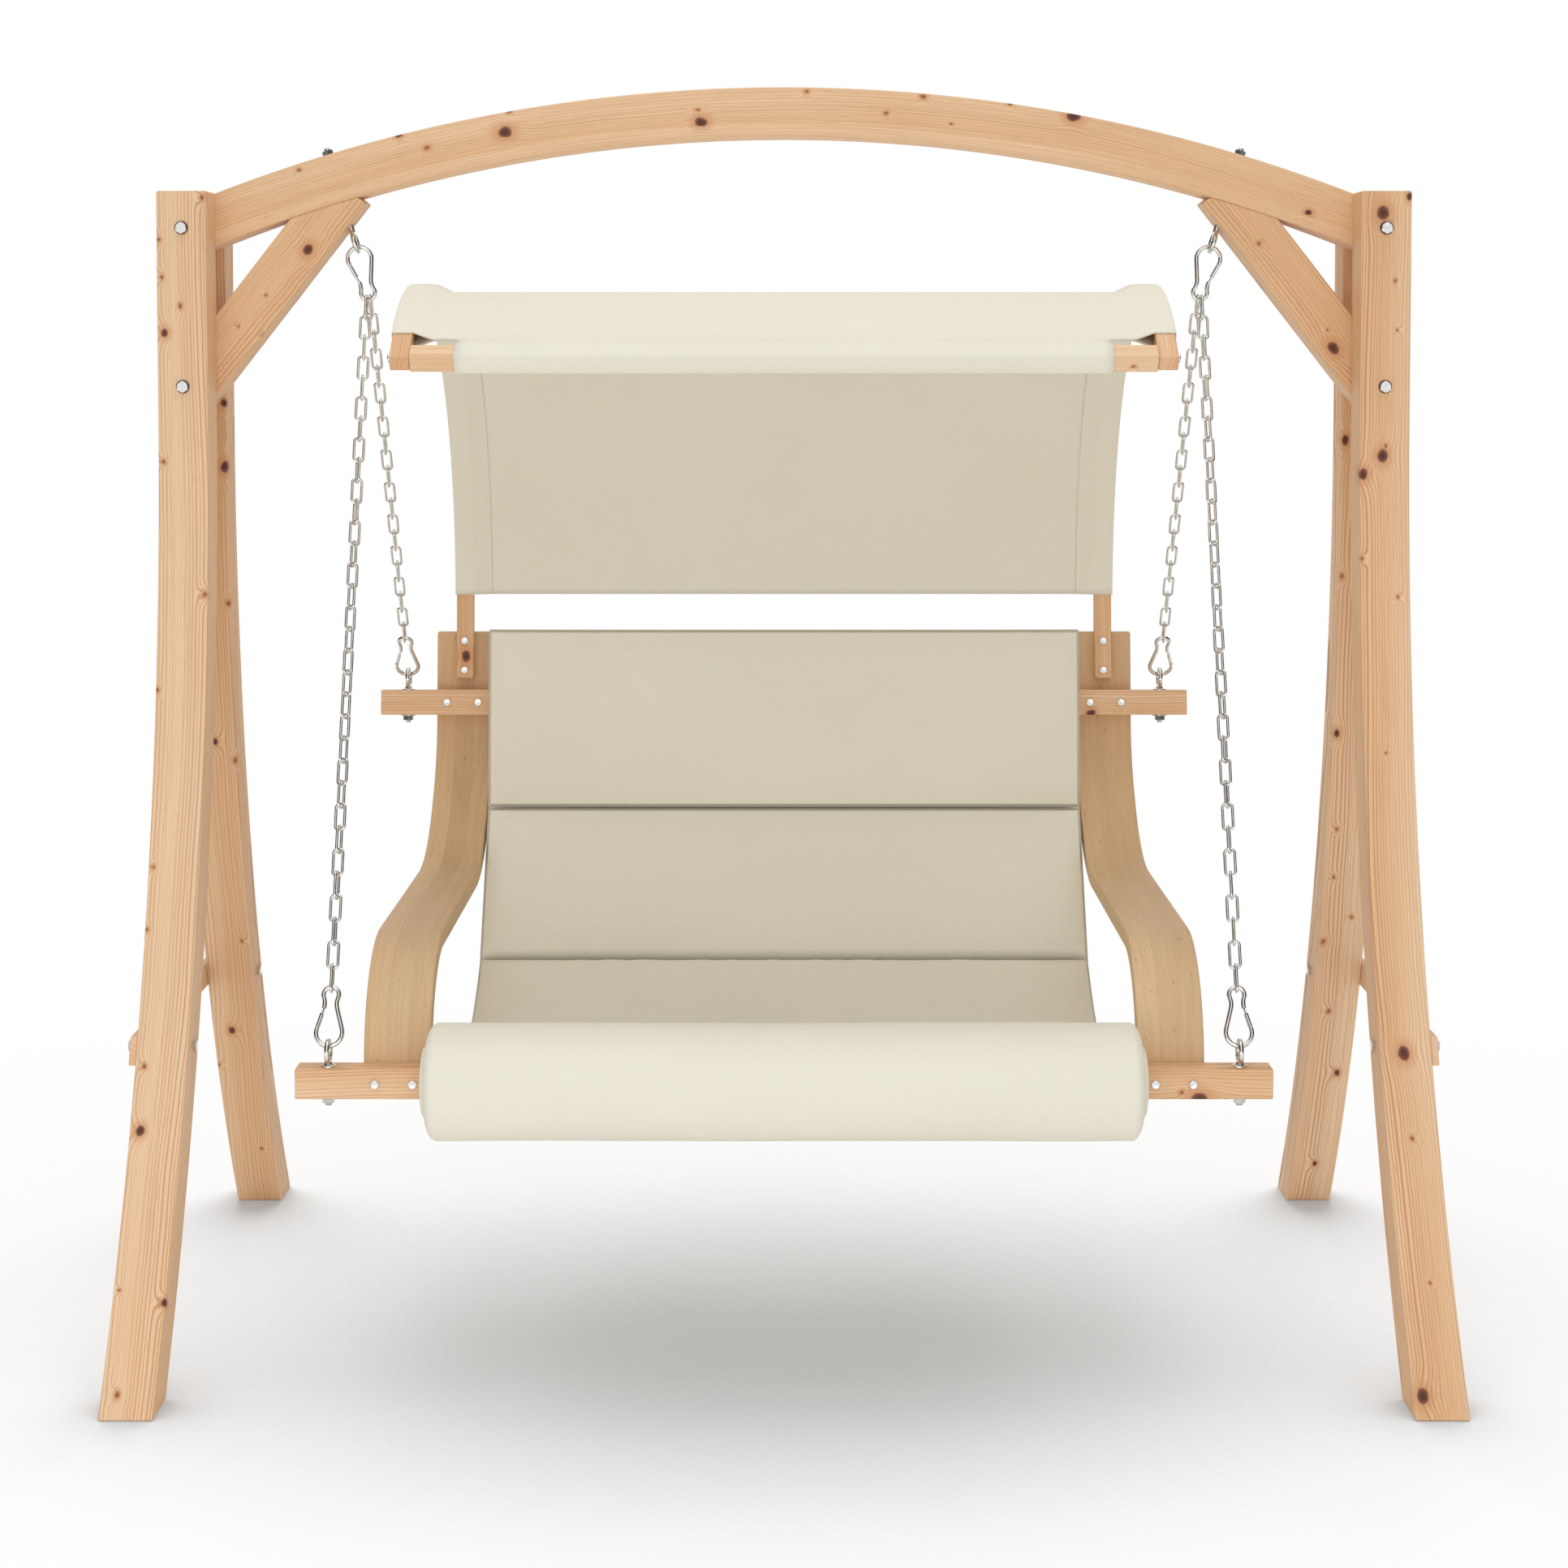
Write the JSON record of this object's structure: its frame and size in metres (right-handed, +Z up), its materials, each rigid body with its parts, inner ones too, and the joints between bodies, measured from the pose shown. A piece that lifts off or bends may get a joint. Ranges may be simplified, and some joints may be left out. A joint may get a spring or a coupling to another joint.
{
  "type": "garden swing",
  "caption": "Arched timber stand with curved legs carrying a cushioned bench under a fabric canopy, hung on chains with snap hooks so that it swings.",
  "frame": {"origin": "on the ground, in the middle of the stand", "axes": "+X along the beam to the right as seen from the seat's open side, +Y to the back of the seat, +Z up"},
  "size_m": [2.04, 1.19, 1.982],
  "materials": {
    "stand_timber": "satin",
    "seat_timber": "satin",
    "zinc_steel": "satin",
    "cushion_cloth": "matte",
    "canopy_cloth": "matte",
    "sling_cloth": "matte"
  },
  "bodies": {
    "stand": {"left_front_leg": "stand_timber", "right_front_leg": "stand_timber", "left_rear_leg": "stand_timber", "right_rear_leg": "stand_timber", "arch_beam": "stand_timber", "left_brace": "stand_timber", "right_brace": "stand_timber", "left_stretcher": "stand_timber", "right_stretcher": "stand_timber", "leg_bolts": "zinc_steel", "leg_nuts": "zinc_steel", "stretcher_bolts": "zinc_steel", "stretcher_nuts": "zinc_steel", "left_top_eye_bolt": "zinc_steel", "right_top_eye_bolt": "zinc_steel", "top_eye_nuts": "zinc_steel", "top_eye_washers": "zinc_steel"},
    "hanging_seat": {"left_side_frame": "seat_timber", "right_side_frame": "seat_timber", "front_crossbar": "seat_timber", "rear_crossbar": "seat_timber", "left_canopy_arm": "seat_timber", "right_canopy_arm": "seat_timber", "canopy_front_rail": "seat_timber", "crossbar_bolts": "zinc_steel", "crossbar_nuts": "zinc_steel", "seat_eye_bolts": "zinc_steel", "seat_eye_nuts": "zinc_steel", "seat_eye_washers": "zinc_steel", "canopy_bolts": "zinc_steel", "canopy_nuts": "zinc_steel", "canopy_rail_screws": "zinc_steel", "left_front_chain": "zinc_steel", "left_rear_chain": "zinc_steel", "right_front_chain": "zinc_steel", "right_rear_chain": "zinc_steel", "left_top_hook": "zinc_steel", "right_top_hook": "zinc_steel", "left_front_hook": "zinc_steel", "right_front_hook": "zinc_steel", "left_rear_hook": "zinc_steel", "right_rear_hook": "zinc_steel", "gate_pins": "zinc_steel", "canopy_fabric": "canopy_cloth", "seat_sling": "sling_cloth", "upper_back_pad": "cushion_cloth", "lower_back_pad": "cushion_cloth", "seat_pad": "cushion_cloth", "front_roll": "cushion_cloth"},
    "left_top_gate": {"left_top_gate": "zinc_steel"},
    "right_top_gate": {"right_top_gate": "zinc_steel"},
    "left_front_gate": {"left_front_gate": "zinc_steel"},
    "right_front_gate": {"right_front_gate": "zinc_steel"},
    "left_rear_gate": {"left_rear_gate": "zinc_steel"},
    "right_rear_gate": {"right_rear_gate": "zinc_steel"}
  },
  "joints": [
    {"name": "seat_swing", "type": "hinge", "parent": "stand", "child": "hanging_seat", "pos_m": [0, 0, 1.72552], "axis": [1, 0, 0], "range_deg": [-20, 20]},
    {"name": "left_top_gate_hinge", "type": "hinge", "parent": "hanging_seat", "child": "left_top_gate", "pos_m": [-0.69582, 0, 1.67256], "axis": [0, 1, 0], "range_deg": [0, 40], "stiffness_Nm_per_rad": 0.1, "springref_deg": -20.05},
    {"name": "right_top_gate_hinge", "type": "hinge", "parent": "hanging_seat", "child": "right_top_gate", "pos_m": [0.69582, 0, 1.67256], "axis": [0, -1, 0], "range_deg": [0, 40], "stiffness_Nm_per_rad": 0.1, "springref_deg": -20.05},
    {"name": "left_front_gate_hinge", "type": "hinge", "parent": "hanging_seat", "child": "left_front_gate", "pos_m": [-0.69023, -0.44851, 0.56984], "axis": [0, -0.9222, 0.3866], "range_deg": [0, 40], "stiffness_Nm_per_rad": 0.1, "springref_deg": -20.05},
    {"name": "right_front_gate_hinge", "type": "hinge", "parent": "hanging_seat", "child": "right_front_gate", "pos_m": [0.69023, -0.44851, 0.56984], "axis": [0, 0.9222, -0.3866], "range_deg": [0, 40], "stiffness_Nm_per_rad": 0.1, "springref_deg": -20.05},
    {"name": "left_rear_gate_hinge", "type": "hinge", "parent": "hanging_seat", "child": "left_rear_gate", "pos_m": [-0.68984, 0.44659, 1.01374], "axis": [0, -0.8143, -0.5805], "range_deg": [0, 40], "stiffness_Nm_per_rad": 0.1, "springref_deg": -20.05},
    {"name": "right_rear_gate_hinge", "type": "hinge", "parent": "hanging_seat", "child": "right_rear_gate", "pos_m": [0.68984, 0.44659, 1.01374], "axis": [0, 0.8143, 0.5805], "range_deg": [0, 40], "stiffness_Nm_per_rad": 0.1, "springref_deg": -20.05}
  ]
}
